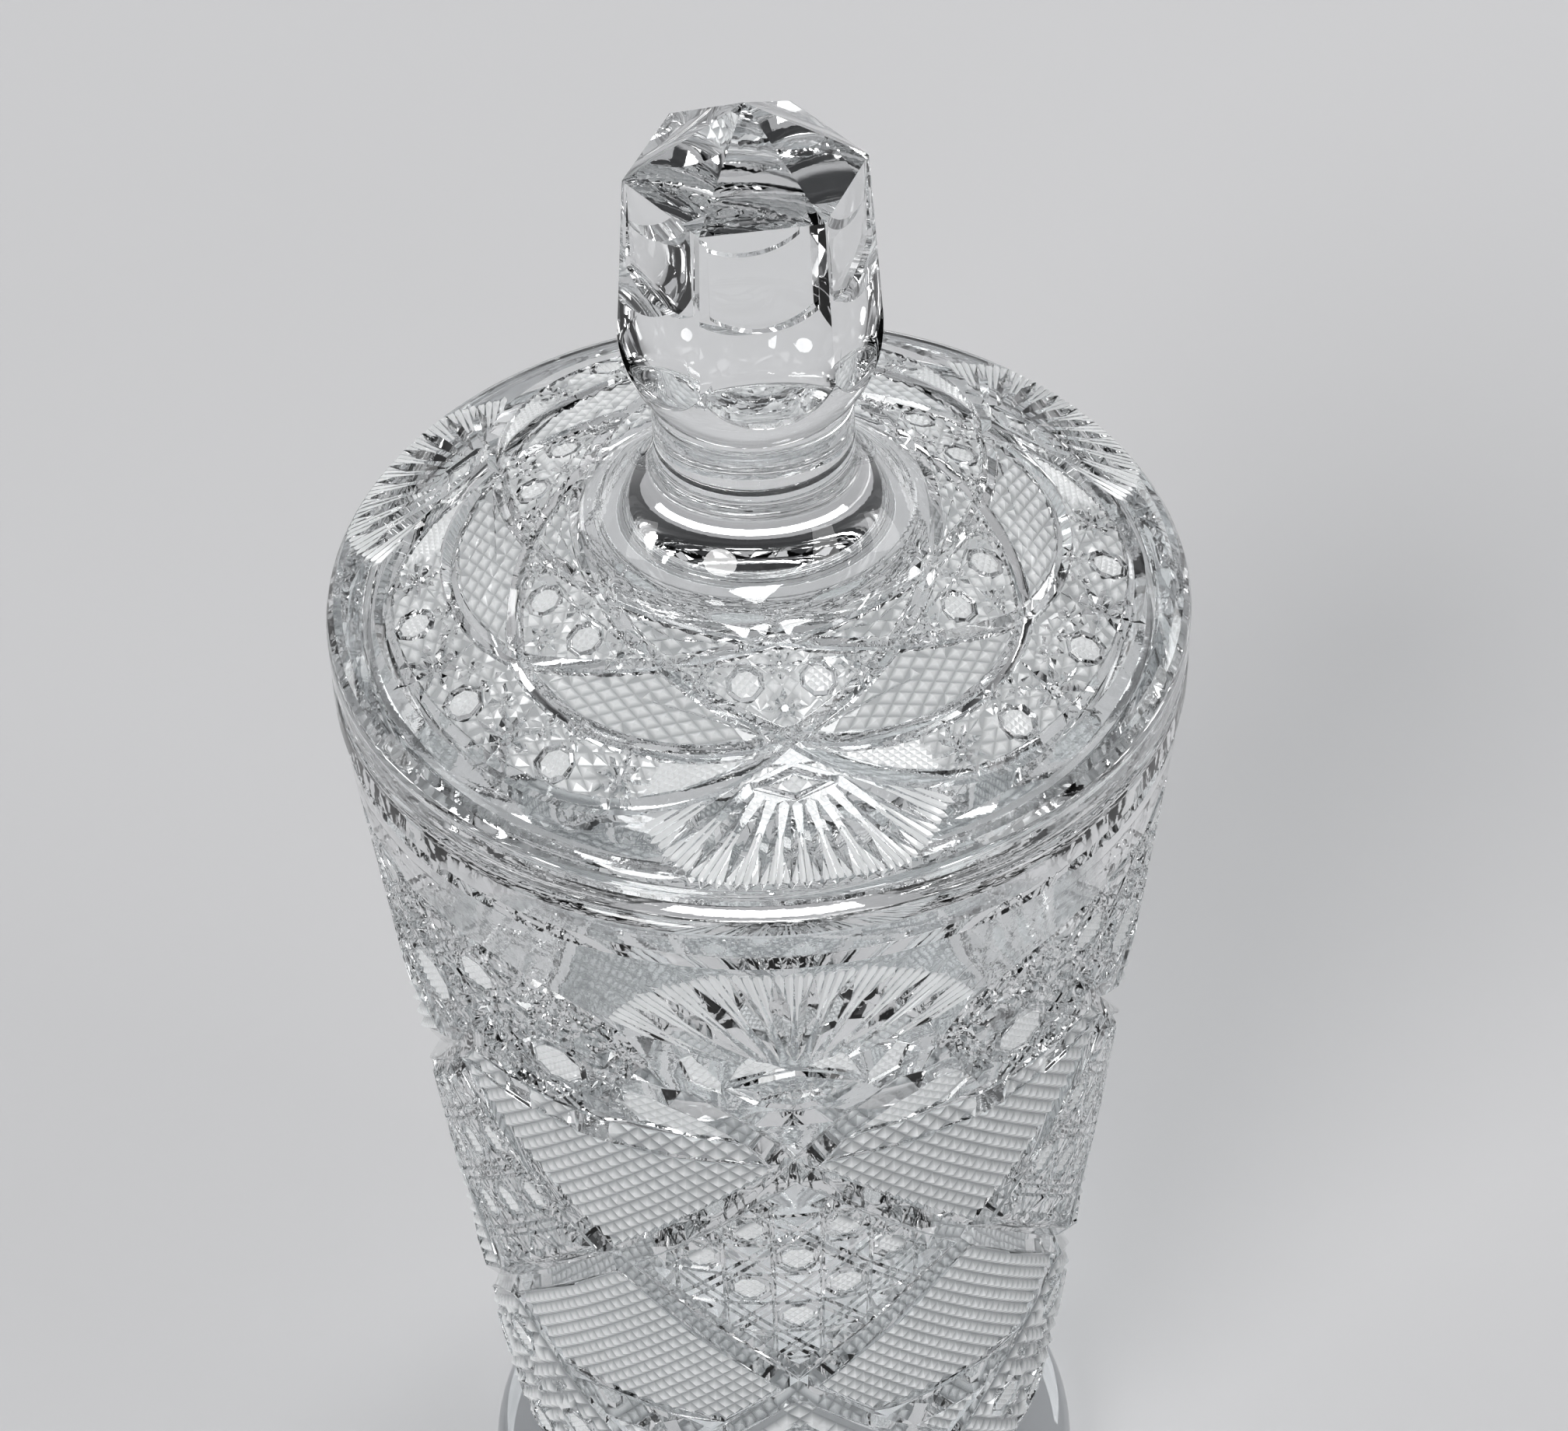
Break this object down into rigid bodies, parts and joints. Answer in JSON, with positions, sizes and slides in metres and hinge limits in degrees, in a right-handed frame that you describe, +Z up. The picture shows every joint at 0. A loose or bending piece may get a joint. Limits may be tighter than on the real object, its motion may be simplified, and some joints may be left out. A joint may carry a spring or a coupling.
{
  "type": "lidded crystal jar",
  "caption": "Tall tapered cut-crystal jar on a spreading foot, with a loose low conical lid and a faceted knob; holds sweets, biscuits or keepsakes.",
  "frame": {"origin": "middle of the foot's underside, on the surface that the jar stands on", "axes": "+Z up the jar's axis, -Y out of the front, where a fan on the lid and a flat of the knob face"},
  "size_m": [0.17, 0.17, 0.4003],
  "materials": {
    "cut_crystal": "polished, deeply wheel-cut",
    "plain_crystal": "polished, plain",
    "lid_crystal": "polished, wheel-cut top",
    "finial_crystal": "polished flat facets"
  },
  "bodies": {
    "jar": {"jar_body": "cut_crystal", "foot": "plain_crystal"},
    "cover": {"lid": "lid_crystal", "finial": "finial_crystal"}
  },
  "joints": [
    {"name": "lid_lift", "type": "slide", "parent": "jar", "child": "cover", "axis": [0, 0, 1], "range_m": [0, 0.06]}
  ]
}
